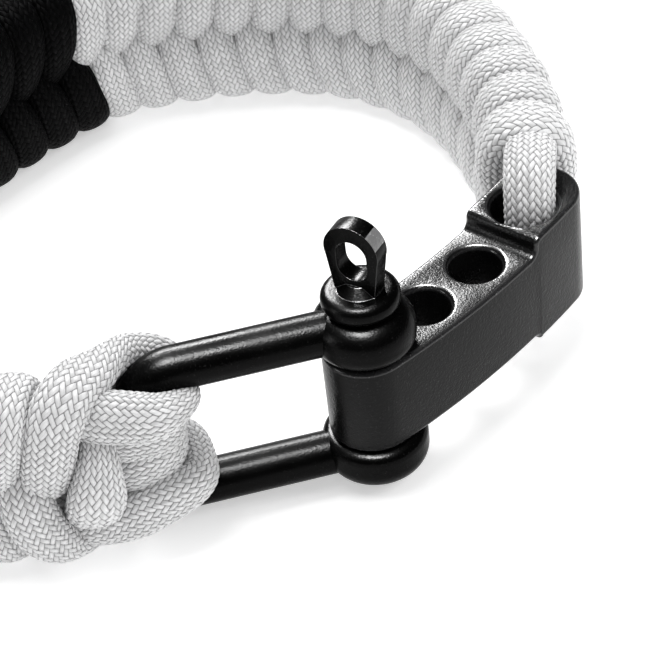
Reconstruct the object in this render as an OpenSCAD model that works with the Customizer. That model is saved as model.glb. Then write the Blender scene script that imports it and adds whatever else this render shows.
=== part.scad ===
// A bracelet of woven cord, closed by a screw-pin shackle and a curved bar with three size holes.
// It lies on its lower edge: +Z is up, the wrist goes through along Z, and the clasp faces -Y.
// The origin is under the middle of the closed loop, on the surface that it lies on.

/* [Woven band] */
// Outside width of the closed loop, side to side
loop_w = 84.6; // [81:0.2:92]
// Outside depth of the closed loop, front to back
loop_d = 77; // [74:0.5:82]
// Height of the woven band, which stands on its edge
band_h = 19.6; // [19.2:0.2:21]
// Thickness of the woven band
band_t = 8.4; // [7.8:0.1:9]
// Spacing of the rings of the weave along the band
ring_pitch = 4.5; // [4:0.1:5]
// Depth of the groove between two rings
groove = 0.9; // [0.4:0.1:1.2]
// Share of the band, counted from the shackle, where the dark stretch starts
dark_from = 0.36; // [0.25:0.01:0.45]
// Share of the band, counted from the shackle, where the dark stretch ends
dark_to = 0.58; // [0.5:0.01:0.7]

/* [Shackle] */
// Thickness of the shackle's round arms
arm_d = 4.2; // [3.6:0.1:4.4]
// From the screw pin to the upright bar of the bow
shackle_reach = 21.2; // [19:0.1:23]
// Bend radius at the two corners of the bow, to the middle of the bar
bow_bend = 4; // [3:0.5:4.5]
// Diameter of the upper ear that holds the screw pin
ear_d = 9.4; // [8.4:0.1:9.8]
// Diameter of the lower, domed ear
dome_d = 9.8; // [9:0.1:10.2]
// Height of each ear along the screw pin
ear_h = 4.4; // [4.3:0.1:4.7]

/* [Screw pin] */
// Diameter of the screw pin's shank
pin_d = 4.9; // [4.6:0.1:5]
// Gap all round the pin in its holes
pin_play = 0.08; // [0.05:0.01:0.1]
// Diameter of the collar that rests on the upper ear
collar_d = 7.2; // [6.6:0.1:7.6]
// Height of the collar
collar_h = 2; // [1.8:0.1:2.8]
// Width of the eye tab
tab_w = 5.3; // [5.1:0.1:5.8]
// Thickness of the eye tab
tab_t = 1.8; // [1.6:0.1:2.2]
// Width of the oval eye in the tab
eye_w = 3; // [2.8:0.1:3.6]
// Height of the oval eye in the tab
eye_h = 4.2; // [3.8:0.1:5]
// Turn of the eye tab about the pin, from +X
tab_turn = -33; // [-90:1:90]

/* [Adjuster bar] */
// Width of the bar in plan
bar_w = 8.2; // [7.8:0.1:8.6]
// Height of the bar's long thinner part
bar_h = 9.5; // [9:0.1:10]
// Radius of the bar's curve in plan, to its mid-line
bar_curve = 95; // [85:1:140]
// Direction of the bar at the screw pin, from +X
bar_turn = 35.7; // [33:0.1:38]
// Distance between size holes along the bar
hole_step = 7.2; // [7:0.1:7.6]
// Diameter of the hole for the cord
cord_hole_d = 6.2; // [5.8:0.1:6.6]
// Height that the cord block stands above the thin part
block_up = 1.8; // [1.6:0.1:2.2]
// Depth that the cord block hangs below the thin part
block_down = 0.7; // [0.3:0.1:0.9]

/* [Cord] */
// Width of the cord where it lies flat
cord_w = 4.8; // [4.4:0.1:5]
// Thickness of the cord where it lies flat
cord_t = 3.5; // [3.2:0.1:3.6]

/* [Hidden] */
$fn = 96;
eps = 0.01;

// Heights, from the middle of the band
ear_play = 0.2;
ear_low = bar_h / 2 + ear_play;
arm_z = ear_low + ear_h / 2;
ear_top = ear_low + ear_h;
mid_z = max(band_h / 2, ear_top + 0.05);
size_holes = 3;

// Plan route of the band's mid-line, clockwise from the bow round to the bar.
// Columns: across and away, as shares of the half width and half depth from the loop's centre.
route = [
    [-0.283, -0.984], [-0.538, -0.924], [-0.777, -0.764], [-0.945, -0.490],
    [-0.990, -0.160], [-0.905, 0.152], [-0.722, 0.417], [-0.486, 0.650],
    [-0.318, 0.818], [-0.118, 0.960], [0.131, 1.003], [0.381, 0.985],
    [0.591, 0.909], [0.774, 0.741], [0.898, 0.510], [0.963, 0.248], [0.987, 0.029]
];
half_w = (loop_w - band_t) / 2;
half_d = (loop_d - band_t) / 2;
pin_at = [0.514 * half_w, -0.826 * half_d];

// The shackle's arms run back from the pin along this direction in plan
arm_turn = 188.84;
arm_dir = [cos(arm_turn), sin(arm_turn)];
bow_at = pin_at + shackle_reach * arm_dir;

// A point of the bar's mid-line at a distance from the pin along its curve, and its direction
function bar_dir(s) = bar_turn + s / bar_curve * 180 / PI;
function bar_at(s) = pin_at + bar_curve * [sin(bar_dir(s)) - sin(bar_turn),
                                           cos(bar_turn) - cos(bar_dir(s))];
block_gap = 0.55;
cord_hole_s = size_holes * hole_step + block_gap;
end_wall = 3.3;
bar_end_s = cord_hole_s + cord_hole_d / 2 + end_wall - bar_w / 2;
hole_at = bar_at(cord_hole_s);

// The band stops just behind the bar, where its two core cords run on to the cord hole
lead = 8.2;
lead_bend = 31;
lead_dir = bar_dir(cord_hole_s) + lead_bend;
band_stop = hole_at + lead * [cos(lead_dir), sin(lead_dir)];

// The route as a smooth line: knots, then points between them
knots = concat([pin_at, bow_at], [for (r = route) [r[0] * half_w, r[1] * half_d]],
               [band_stop, hole_at]);
steps = 12;
function smooth(a, b, c, d, t) =
    0.5 * (2 * b + (c - a) * t + (2 * a - 5 * b + 4 * c - d) * t * t
           + (3 * b - a - 3 * c + d) * t * t * t);
line = concat(
    [for (i = [1 : len(knots) - 3], j = [0 : steps - 1])
        smooth(knots[i - 1], knots[i], knots[i + 1], knots[i + 2], j / steps)],
    [band_stop]);
travel = [for (i = 0, s = 0; i < len(line);
               s = s + (i + 1 < len(line) ? norm(line[i + 1] - line[i]) : 0), i = i + 1) s];
line_x = [for (i = [0 : len(line) - 1]) [travel[i], line[i][0]]];
line_y = [for (i = [0 : len(line) - 1]) [travel[i], line[i][1]]];
line_end = travel[len(line) - 1];
function plan_at(s) = [lookup(s, line_x), lookup(s, line_y)];
function plan_turn(s) =
    let (d = plan_at(min(s + 0.6, line_end)) - plan_at(max(s - 0.6, 0))) atan2(d[1], d[0]);
// A point beside the line: out is towards the outside of the loop
function beside(s, out) = plan_at(s) + out * [-sin(plan_turn(s)), cos(plan_turn(s))];

// The band between the knot at the bow and the last ring, cut into whole rings
band_from = 5.2;
rings = round((line_end - band_from) / ring_pitch);
pitch = (line_end - band_from) / rings;
dark_first = round(rings * dark_from);
dark_last = round(rings * dark_to);
sub = 4;

// Cross-section of the band. Columns: outward as a share of the half thickness, upward as a share
// of the half height. It has a furrow at mid height on both faces.
section = [
    [0.72, 0], [0.96, 0.14], [1, 0.4], [0.95, 0.68], [0.72, 0.9], [0.3, 1],
    [-0.3, 1], [-0.72, 0.9], [-0.95, 0.68], [-1, 0.4], [-0.96, 0.14], [-0.72, 0],
    [-0.96, -0.14], [-1, -0.4], [-0.95, -0.68], [-0.72, -0.9], [-0.3, -1],
    [0.3, -1], [0.72, -0.9], [0.95, -0.68], [1, -0.4], [0.96, -0.14]
];
// How far a roll winds back towards the shackle on its way from the outer furrow over the edge
// to the inner furrow
wind = 5;
function lean(j, s) =
    let (n = len(section), ramp = min(1, (s - band_from) / (3 * pitch), (line_end - s) / (3 * pitch)))
    -ramp * wind * min(j, n - j) / (n / 2);
// The rolls swell between two grooves,
// and the lower rolls sit half a ring on from the upper ones.
function inset(k, p) =
    let (shift = k == 0 ? 0 : p[1] < -0.05 ? 0.5 : p[1] > 0.05 ? 0 : 0.25)
    groove * pow(abs(cos(180 * (k / sub + shift))), 3);
function band_point(k, j) =
    let (s = band_from + k * pitch / sub, p = section[j], in = inset(k, p),
         q = beside(s + lean(j, s), p[0] * (band_t / 2 - in)))
    [q[0], q[1], mid_z + p[1] * (band_h / 2 - in)];

// A closed skin over rings of points, with a fan of triangles at each end
module skin(loops) {
    n = len(loops[0]);
    m = len(loops);
    function middle(c) = [for (a = [0 : 2]) [for (p = c) p[a]] * [for (p = c) 1] / n];
    points = concat([for (c = loops) each c], [middle(loops[0]), middle(loops[m - 1])]);
    sides = [for (i = [0 : m - 2], j = [0 : n - 1], h = [0, 1])
        let (a = i * n + j, b = i * n + (j + 1) % n)
        h == 0 ? [a, b, b + n] : [a, b + n, a + n]];
    ends = [for (j = [0 : n - 1], e = [0, 1])
        let (a = j, b = (j + 1) % n, z = (m - 1) * n)
        e == 0 ? [b, a, m * n] : [z + a, z + b, m * n + 1]];
    polyhedron(points, concat(sides, ends), convexity = 8);
}

module band(first, last) {
    skin([for (k = [first * sub : last * sub]) [for (j = [0 : len(section) - 1]) band_point(k, j)]]);
}

module white_band_near() {
    color([0.86, 0.86, 0.86]) band(0, dark_first);
}

module black_band() {
    color([0.05, 0.05, 0.05]) band(dark_first, dark_last);
}

module white_band_far() {
    color([0.86, 0.86, 0.86]) band(dark_last, rings);
}

// Parts of the clasp are built round the pin, at mid height
module at_pin(turn = 0) {
    translate([pin_at[0], pin_at[1], mid_z]) rotate([0, 0, turn]) children();
}

// Half outline of a round disc with its own rounding at the lower and upper edge
module disc_outline(r, h, edges) {
    low = edges[0];
    high = edges[1];
    square([r - max(low, high), h]);
    translate([0, low]) square([r, h - low - high]);
    square([r - low, low]);
    translate([0, h - high]) square([r - high, high]);
    translate([r - low, low]) circle(low);
    translate([r - high, h - high]) circle(high);
}

// Rounding of each ear's lower and upper edge, at most half the ear's height
ear_edges = [1.5, min(0.239 * ear_d, ear_h / 2)];
dome_edges = [min(0.24 * dome_d, ear_h / 2), 1];
bow_straight = arm_z - bow_bend;
bore_d = pin_d + 2 * pin_play;
module half_shackle() {
    translate([ear_d / 4, 0, arm_z]) rotate([0, 90, 0])
        cylinder(d = arm_d, h = shackle_reach - bow_bend - ear_d / 4);
    translate([shackle_reach - bow_bend, 0, arm_z - bow_bend]) rotate([90, 0, 0])
        rotate_extrude(angle = 90) translate([bow_bend, 0]) circle(d = arm_d);
}
module shackle() {
    color([0.04, 0.04, 0.045]) at_pin(arm_turn) difference() {
        union() {
            translate([0, 0, ear_low]) rotate_extrude() disc_outline(ear_d / 2, ear_h, ear_edges);
            translate([0, 0, -ear_top]) rotate_extrude() disc_outline(dome_d / 2, ear_h, dome_edges);
            half_shackle();
            mirror([0, 0, 1]) half_shackle();
            translate([shackle_reach, 0, -bow_straight]) cylinder(d = arm_d, h = 2 * bow_straight);
        }
        translate([0, 0, -mid_z - 1]) cylinder(d = bore_d, h = 2 * mid_z + 2);
    }
}

collar_gap = 0.15;
collar_z = ear_top + collar_gap;
collar_edges = [0.46 * collar_h, 0.46 * collar_h];
eye_foot = 1.4;
eye_z = collar_z + collar_h + eye_h / 2 + eye_foot;
tab_over = 1.55;
tab_top = eye_z + eye_h / 2 + tab_over;
neck_sink = 0.5;
neck_h = 1.3;
neck_z = collar_z + collar_h - neck_sink;
tip_h = 0.6;
module screw_pin() {
    color([0.05, 0.05, 0.055]) at_pin(tab_turn) {
        difference() {
            union() {
                translate([0, 0, tip_h - ear_top]) cylinder(d = pin_d, h = ear_top + collar_z);
                translate([0, 0, -ear_top]) cylinder(d1 = pin_d - 2 * tip_h, d2 = pin_d, h = tip_h);
                translate([0, 0, collar_z])
                    rotate_extrude() disc_outline(collar_d / 2, collar_h, collar_edges);
                translate([0, 0, neck_z]) cylinder(d1 = tab_w, d2 = tab_t * 1.3, h = neck_h);
                translate([0, tab_t / 2, neck_z]) rotate([90, 0, 0]) linear_extrude(tab_t)
                    tab_outline();
            }
            translate([0, tab_t / 2 + 1, eye_z]) rotate([90, 0, 0]) linear_extrude(tab_t + 2) {
                translate([0, (eye_h - eye_w) / 2]) circle(d = eye_w);
                square([eye_w, eye_h - eye_w], center = true);
                translate([0, (eye_w - eye_h) / 2]) circle(d = eye_w);
            }
        }
    }
}
// Front outline of the eye tab, from its foot on the collar: sides that spread to a round top
module tab_outline() {
    top = tab_top - neck_z - tab_w / 2;
    foot = tab_w * 0.36;
    translate([0, top]) circle(d = tab_w);
    polygon([[-foot, 0], [foot, 0], [tab_w / 2, top], [-tab_w / 2, top]]);
}

// The bar is cut from a ring about the centre of its curve, with round ends
cove = 0.9;
brow = 0.8;
step_wall = 0.7;
cove_s = cord_hole_s - cord_hole_d / 2 - step_wall;
rim = 0.35;
bar_spin = 180 / PI / bar_curve;
module bar_plan() {
    translate([0, bar_curve]) rotate(-90) intersection() {
        difference() {
            circle(bar_curve + bar_w / 2, $fn = 720);
            circle(bar_curve - bar_w / 2, $fn = 720);
        }
        wedge = bar_end_s * bar_spin;
        far = 2 * bar_curve;
        polygon([[0, 0], [far, 0], [far * cos(wedge), far * sin(wedge)]]);
    }
    circle(d = bar_w);
    along_bar(bar_end_s) circle(d = bar_w);
}
// Places a thing at a distance along the bar's curve, seen from the pin with the bar along +X
module along_bar(s) {
    a = s * bar_spin;
    translate([bar_curve * sin(a), bar_curve * (1 - cos(a)), 0]) rotate([0, 0, a]) children();
}
module rimmed_hole(d, low, high) {
    translate([0, 0, low - 1]) cylinder(d = d, h = high - low + 2);
    translate([0, 0, high - rim]) cylinder(d1 = d, d2 = d + 2 * rim + 0.2, h = rim + 0.1);
    translate([0, 0, low - 0.1]) cylinder(d1 = d + 2 * rim + 0.2, d2 = d, h = rim + 0.1);
}
// Room cut away over the thin part: it ends in a hollow curve that climbs to the block,
// whose edge is rounded where the block is high enough
module step_cut(rise) {
    reach = cove_s + bar_w;
    if (rise > cove + brow / 2)
        along_bar(cove_s) translate([0, bar_w, rise - brow]) rotate([90, 0, 0]) linear_extrude(2 * bar_w)
            difference() {
                translate([-0.1, 0]) square([brow + 0.1, brow + 1]);
                translate([brow, 0]) circle(brow);
            }
    along_bar(cove_s) translate([0, bar_w, 0]) rotate([90, 0, 0]) linear_extrude(2 * bar_w)
        difference() {
            translate([-reach, 0]) square([reach, rise + 1]);
            translate([-cove, -1]) square([cove + 1, cove + 1]);
        }
    along_bar(cove_s) translate([-cove, bar_w, cove]) rotate([90, 0, 0]) cylinder(r = cove, h = 2 * bar_w);
}
module adjuster_bar() {
    top = bar_h / 2;
    low = -top - block_down;
    high = top + block_up;
    color([0.045, 0.045, 0.05]) at_pin(bar_turn) difference() {
        translate([0, 0, low]) linear_extrude(high - low) bar_plan();
        translate([0, 0, top]) step_cut(block_up);
        translate([0, 0, -top]) mirror([0, 0, 1]) step_cut(block_down);
        for (i = [0 : size_holes - 1]) along_bar(i * hole_step) rimmed_hole(bore_d, -top, top);
        along_bar(cord_hole_s) rimmed_hole(cord_hole_d, low, high);
    }
}

// The cord that joins the band to the bar: out of the upper core, over the block, down through
// the cord hole and back below. Columns: distance from the band's end, height from the middle.
over = bar_h / 2 + block_up + cord_t / 2 + 0.15;
under = -(bar_h / 2 + block_down + cord_t / 2 + 0.1);
start_gap = 0.3;
end_route = [
    [-2, 7.2], [start_gap, 7.4], [1.9, over - 0.2], [3.9, over + 0.1], [6.2, over - 0.4],
    [7.7, over - 2.1], [lead, 4], [lead, 0], [lead, -3], [7.8, under + 1.5],
    [6.5, under + 0.25], [4.2, under], [1.9, under + 0.15], [start_gap, -6.4], [-2, -6.2]
];
cord_sides = 14;
function end_point(i, t) = smooth(end_route[i - 1], end_route[i], end_route[i + 1], end_route[i + 2], t);
end_line = concat(
    [for (i = [1 : len(end_route) - 3], j = [0 : 3]) end_point(i, j / 4)],
    [end_route[len(end_route) - 2]]);
function end_loop(i) =
    let (p = end_line[i],
         d = i == 0 || i == len(end_line) - 1 ? [0, 1] :
             (end_line[i + 1] - end_line[i - 1]) / norm(end_line[i + 1] - end_line[i - 1]),
         flip = i == 0 ? [0, 1] : i == len(end_line) - 1 ? [0, -1] : [-d[1], d[0]])
    [for (j = [0 : cord_sides - 1])
        let (a = 360 * j / cord_sides, w = cord_w / 2 * cos(a), h = cord_t / 2 * sin(a))
        [p[0] + flip[0] * h, w, p[1] + flip[1] * h]];
module end_cord() {
    color([0.88, 0.88, 0.88])
        translate([band_stop[0], band_stop[1], mid_z]) rotate([0, 0, lead_dir + 180])
        skin([for (i = [0 : len(end_line) - 1]) end_loop(i)]);
}

// The knot at the bow: cords round the bow's upright bar, squeezed into one bundle.
// Columns: back from the upright bar, outward from the shackle's middle, height from the middle.
upper_turn = [
    [6, 0.6, 5.4], [3.7, 2.2, 5.5], [1.6, 3.2, 5.6], [-0.9, 3.8, 5.7], [-2.9, 3.3, 5.5], [-4.1, 1.9, 5],
    [-4.1, -0.4, 4.4], [-3.9, -2.5, 4.4], [-3.4, -3.7, 5], [-2.3, -3.9, 5.9], [-0.3, -3.3, 6.9],
    [2.1, -1.7, 7.9], [4.3, 0.3, 8.2], [6.1, 2, 7.9], [7.6, 3.1, 6]
];
lower_turn = [
    [7.6, 1.2, -6.6], [5.3, 3.2, -6.3], [2.1, 4.2, -5.2], [-0.8, 4.2, -4.3], [-3.1, 3.6, -3.9],
    [-4.4, 2.3, -3.9], [-4.6, 0, -4], [-4.2, -2.4, -4.1], [-3, -3.9, -4.8], [-0.4, -4.3, -6.4],
    [2.6, -3, -7.5], [4.6, -0.6, -7.8], [6.6, 1.8, -7.8]
];
front_turn = [[6, 2, -4.6], [5.4, 3.8, -3.2], [5, 4.4, -1], [4.5, 4, 1], [4, 2.8, 2.8], [3.8, 1.4, 4]];
middle_turn = [
    [4.4, 1.4, 2.4], [2.4, 2.6, 2.4], [0.2, 2.9, 2.2], [-1.8, 2.4, 1.7], [-2.9, 0.9, 0.6],
    [-1.6, 2.5, -0.7], [0.6, 3, -0.9], [2.6, 2.4, -1.2], [4.6, 1, -1.4]
];
core = [[4.6, -0.2, 4.6], [8, -0.4, 4.9]];
outer_d = 4.2;
front_d = 3.8;
inner_d = 3;
core_d = 6.4;
module turn_of_cord(rows, d) {
    for (i = [0 : len(rows) - 2]) hull() {
        translate(rows[i]) sphere(d = d, $fn = 12);
        translate(rows[i + 1]) sphere(d = d, $fn = 12);
    }
}
module bow_knot() {
    cut_at = beside(band_from, 0);
    color([0.87, 0.87, 0.87]) difference() {
        at_pin(arm_turn) difference() {
            translate([shackle_reach, 0, 0]) {
                turn_of_cord(upper_turn, outer_d);
                turn_of_cord(lower_turn, outer_d);
                turn_of_cord(front_turn, front_d);
                turn_of_cord(middle_turn, inner_d);
                turn_of_cord(core, core_d);
                mirror([0, 0, 1]) turn_of_cord(core, core_d);
            }
            bow_channel();
        }
        translate([cut_at[0], cut_at[1], 0]) rotate([0, 0, plan_turn(band_from)])
            translate([0, -40, -1]) cube([40, 80, 60]);
        translate([-200, -200, -20]) cube([400, 400, 20]);
    }
}
// Room for the bow and its arms inside the knot
module bow_channel() {
    gap = 0.12;
    for (side = [1, -1]) scale([1, 1, side]) {
        translate([0, 0, arm_z]) rotate([0, 90, 0])
            cylinder(d = arm_d + 2 * gap, h = shackle_reach - bow_bend, $fn = 32);
        translate([shackle_reach - bow_bend, 0, arm_z - bow_bend]) rotate([90, 0, 0])
            rotate_extrude(angle = 90, $fn = 48) translate([bow_bend, 0]) circle(d = arm_d + 2 * gap, $fn = 24);
    }
    translate([shackle_reach, 0, -bow_straight]) cylinder(d = arm_d + 2 * gap, h = 2 * bow_straight, $fn = 32);
}

shackle();
screw_pin();
adjuster_bar();
end_cord();
bow_knot();
white_band_near();
black_band();
white_band_far();
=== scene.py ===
"""Looks of a woven cord bracelet with a screw-pin shackle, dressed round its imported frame."""

import logging
import math
from dataclasses import dataclass
from enum import Enum
from functools import cached_property

import bmesh
import bpy
import numpy as np
from mathutils import Matrix, Vector


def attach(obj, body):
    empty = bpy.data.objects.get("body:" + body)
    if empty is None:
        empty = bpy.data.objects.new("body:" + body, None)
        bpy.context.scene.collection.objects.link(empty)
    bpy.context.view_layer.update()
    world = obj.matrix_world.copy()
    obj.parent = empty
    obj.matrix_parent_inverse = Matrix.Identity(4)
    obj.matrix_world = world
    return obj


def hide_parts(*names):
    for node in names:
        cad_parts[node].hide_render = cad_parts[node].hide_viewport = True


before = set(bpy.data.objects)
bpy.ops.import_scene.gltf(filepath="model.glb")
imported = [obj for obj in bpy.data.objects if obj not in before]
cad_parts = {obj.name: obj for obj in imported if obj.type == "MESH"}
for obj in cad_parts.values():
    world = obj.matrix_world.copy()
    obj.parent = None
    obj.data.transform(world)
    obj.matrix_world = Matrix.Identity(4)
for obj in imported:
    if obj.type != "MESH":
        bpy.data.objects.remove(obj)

MM = 0.001
LOG = logging.getLogger("bracelet")
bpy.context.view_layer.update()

# Points between two knots of a cord's curve and of the band's mid-line
CORD_STEPS = 24
LINE_STEPS = 12
# Points from which a section's even spacing is worked out
TURN_STEPS = 1441
# Height of the braid where it is modelled, and the height of its relief that lies on the plain section
RELIEF = 0.13 * MM
RELIEF_LEVEL = 0.6
# The range that most values of a noise texture lie in
NOISE_LOW, NOISE_HIGH = 0.3, 0.7
# Material slots of a metal piece after the first, which holds its coat: the softened edges' coat, lighter
# partly for wear and partly as a painted highlight, and the rubbed coat
WORN_HIGHLIT_SLOT, RUBBED_SLOT = 1, 2


class Shade(Enum):
    """The two colours of cord that the band is woven from."""

    WHITE = "white_cord"
    BLACK = "black_cord"


class Blend(Enum):
    """What a mix node mixes: its data type, its two inputs and its output."""

    COLOUR = ("RGBA", 6, 7, 2)
    VECTOR = ("VECTOR", 4, 5, 1)


class Reach(Enum):
    """What a lamp lights, and what mirrors it."""

    FULL = "lights all, mirrored by all"
    SOFT = "lights all, mirrored by nothing"
    CARD = "lights nothing, mirrored by the metal"


def unit(vectors: np.ndarray) -> np.ndarray:
    """Rows of vectors, each made one long."""
    return vectors / np.maximum(np.linalg.norm(vectors, axis=1, keepdims=True), 1e-12)


def travelled(points: np.ndarray) -> np.ndarray:
    """Distance from the first point to each point along a line."""
    return np.concatenate([[0], np.cumsum(np.linalg.norm(np.diff(points, axis=0), axis=1))])


def curve_through(knots: np.ndarray, steps: int) -> np.ndarray:
    """Runs a smooth curve through all knots but the first and the last.

    Args:
        knots: one row for each knot. The first and the last only steer the curve's ends.
        steps: how many points each span between two knots has.

    Returns:
        The curve's rows, without its end.
    """
    t = np.linspace(0, 1, steps, endpoint=False)[:, None]
    spans = []
    for a, b, c, d in zip(knots, knots[1:], knots[2:], knots[3:]):
        spans.append(0.5 * (2 * b + (c - a) * t + (2 * a - 5 * b + 4 * c - d) * t**2
                            + (3 * b - a - 3 * c + d) * t**3))
    return np.vstack(spans)


def spline(rows: np.ndarray, count: int) -> np.ndarray:
    """Runs a smooth curve through rows of numbers.

    Args:
        rows: one row for each point, with any number of columns.
        count: how many points come back, evenly spaced by the first three columns.

    Returns:
        The curve's rows.
    """
    rows = np.asarray(rows, float)
    knots = np.vstack([2 * rows[0] - rows[1], rows, 2 * rows[-1] - rows[-2]])
    fine = np.vstack([curve_through(knots, CORD_STEPS), rows[-1:]])
    travel = travelled(fine[:, :3])
    want = np.linspace(0, travel[-1], count)
    return np.stack([np.interp(want, travel, column) for column in fine.T], axis=1)


@dataclass(frozen=True)
class Loop:
    """The bracelet's plan, with the same sizes as the part's source, in millimetres and degrees."""

    # Half the sides of the mid-line's box, and the height of the band's middle
    half_w: float = 38.1
    half_d: float = 34.3
    mid_z: float = 9.8
    # Place of the screw pin, as shares of half_w and half_d
    pin_share: tuple = (0.514, -0.826)
    # Shackle: distance from the pin to the bow's upright bar, and its direction
    reach: float = 21.2
    arm_turn: float = 188.84
    # Bar: its direction at the pin, the radius of its bend, and where the cord hole lies along it
    bar_turn: float = 35.7
    bar_curve: float = 95.0
    cord_hole: float = 22.15
    # Stretch from the cord hole to the band's end: its length, and how far it turns from the bar
    lead: float = 8.2
    lead_bend: float = 31
    # Weave: where it starts, the rings' spacing, the dark share of the rings, how far along the
    # band a ring winds, and how high over the band's middle its cores lie
    band_from: float = 5.2
    ring_pitch: float = 4.5
    dark_from: float = 0.36
    dark_to: float = 0.58
    wind: float = 5.0
    core_up: float = 4.7
    # Half the stretch that the band's direction at a place is taken from
    look: float = 1.2
    # Knots of the mid-line between the bow and the band's end, as shares of half_w and half_d
    route: tuple = (
        (-0.283, -0.984), (-0.538, -0.924), (-0.777, -0.764), (-0.945, -0.490),
        (-0.990, -0.160), (-0.905, 0.152), (-0.722, 0.417), (-0.486, 0.650),
        (-0.318, 0.818), (-0.118, 0.960), (0.131, 1.003), (0.381, 0.985),
        (0.591, 0.909), (0.774, 0.741), (0.898, 0.510), (0.963, 0.248), (0.987, 0.029),
    )

    @cached_property
    def scale(self) -> np.ndarray:
        """What shares are multiplied by."""
        return np.array([self.half_w, self.half_d])

    @cached_property
    def pin(self) -> np.ndarray:
        """Plan position of the screw pin."""
        return np.array(self.pin_share) * self.scale

    @cached_property
    def bow(self) -> np.ndarray:
        """Plan position of the bow's upright bar."""
        return self.pin + self.reach * self.heading(self.arm_turn)

    @staticmethod
    def heading(degrees: float) -> np.ndarray:
        """A direction in plan, from an angle."""
        return np.array([math.cos(math.radians(degrees)), math.sin(math.radians(degrees))])

    def bar_at(self, s: float) -> np.ndarray:
        """Plan position on the bar's mid-line, s from the pin."""
        a, b = math.radians(self.bar_turn), math.radians(self.bar_turn) + s / self.bar_curve
        return self.pin + self.bar_curve * np.array([math.sin(b) - math.sin(a), math.cos(a) - math.cos(b)])

    @cached_property
    def lead_turn(self) -> float:
        """Direction from the cord hole to the band's end, in degrees."""
        return self.bar_turn + math.degrees(self.cord_hole / self.bar_curve) + self.lead_bend

    @cached_property
    def stop(self) -> np.ndarray:
        """Plan position of the band's end."""
        return self.bar_at(self.cord_hole) + self.lead * self.heading(self.lead_turn)

    @cached_property
    def line(self) -> tuple:
        """The band's mid-line from the bow to its end.

        Returns:
            Distances along it, and the plan points at them.
        """
        knots = np.vstack([self.pin, self.bow, np.array(self.route) * self.scale, self.stop,
                           self.bar_at(self.cord_hole)])
        points = np.vstack([curve_through(knots, LINE_STEPS), self.stop])
        return travelled(points), points

    @cached_property
    def end(self) -> float:
        """Length of the band's mid-line."""
        return float(self.line[0][-1])

    @cached_property
    def rings(self) -> int:
        """How many rings each edge of the band has room for."""
        return round((self.end - self.band_from) / self.ring_pitch)

    @cached_property
    def pitch(self) -> float:
        """Spacing of the rings, made to fit a whole number."""
        return (self.end - self.band_from) / self.rings

    def plan(self, s: np.ndarray) -> np.ndarray:
        """Plan points at distances along the mid-line."""
        travel, points = self.line
        return np.stack([np.interp(s, travel, column) for column in points.T], axis=-1)

    def place(self, s: np.ndarray, out: np.ndarray, up: np.ndarray) -> np.ndarray:
        """Points beside the band's mid-line.

        Args:
            s: distances along the mid-line.
            out: distances towards the outside of the loop.
            up: heights above the middle of the band.

        Returns:
            Points in metres.
        """
        s = np.asarray(s, float)
        after, before = np.minimum(s + self.look, self.end), np.maximum(s - self.look, 0)
        ahead = unit(self.plan(after) - self.plan(before))
        side = np.stack([-ahead[:, 1], ahead[:, 0]], axis=1)
        beyond = np.minimum(s, 0) + np.maximum(s - self.end, 0)
        flat = self.plan(s) + side * np.asarray(out)[:, None] + ahead * beyond[:, None]
        return np.column_stack([flat, self.mid_z + np.asarray(up)]) * MM

    def at_bow(self, rows: np.ndarray) -> np.ndarray:
        """Points round the bow's upright bar.

        Args:
            rows: distances back from the bar, outward and up, as the first three columns.

        Returns:
            Points in metres.
        """
        back, out = self.heading(self.arm_turn), self.heading(self.arm_turn + 90)
        flat = self.bow + rows[:, :1] * back + rows[:, 1:2] * out
        return np.column_stack([flat, self.mid_z + rows[:, 2]]) * MM


LOOP = Loop()


@dataclass(frozen=True)
class Braid:
    """The sheath's pattern: yarns that cross over two and under two."""

    # Length of a cell along the cord in millimetres, and how many yarns run each way round it
    pitch: float = 0.68
    carriers: int = 23
    # How far a pick falls away to its sides, to its tips and at its corners
    side: float = 0.4
    tip: float = 0.85
    groove: float = 0.25
    # Where the fall at the corners starts, as a sum of sixth powers that is 1 at the rim
    corner: float = 0.45
    # Offset of the second family of yarns, and half the pattern's repeat, in cells
    shift: float = 3.0
    half_repeat: float = 2.0
    # Each pick gets its tone from a number: its step from row to row, and its scale before rounding
    row_step: float = 7.31
    number_scale: float = 100.0
    # Filaments: how fine they are across and along a yarn, and how far they shift between picks
    filament_across: float = 4.5
    filament_along: float = 0.7
    filament_shift: float = 37.0

    def height(self, u: np.ndarray, v: np.ndarray) -> np.ndarray:
        """Relief of the crossing yarns, from 0 in a gap to 1 on a crown.

        Args:
            u: millimetres along the cord.
            v: share of the way round it.

        Returns:
            Heights, in the shape of u and v together.
        """
        a, b = u / self.pitch + v * self.carriers, u / self.pitch - v * self.carriers
        nearest = np.full(np.broadcast(a, b).shape, np.inf)
        height = np.zeros(nearest.shape)
        half = self.half_repeat
        for first, second, shift in ((a, b, 0.0), (b, a, self.shift)):
            row = np.floor(first)
            across, along = 2 * (first - row - 0.5), np.mod(second - row - shift + half, 2 * half) - half
            far = np.maximum(np.abs(across), np.abs(along))
            edge = np.clip((across**6 + along**6 - self.corner) / (1 - self.corner), 0, 1)
            crown = 1 - self.side * across**4 - self.tip * along**2 - self.groove * edge
            height = np.where(far < nearest, crown, height)
            nearest = np.minimum(nearest, far)
        return np.clip(height, 0, 1)


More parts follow.
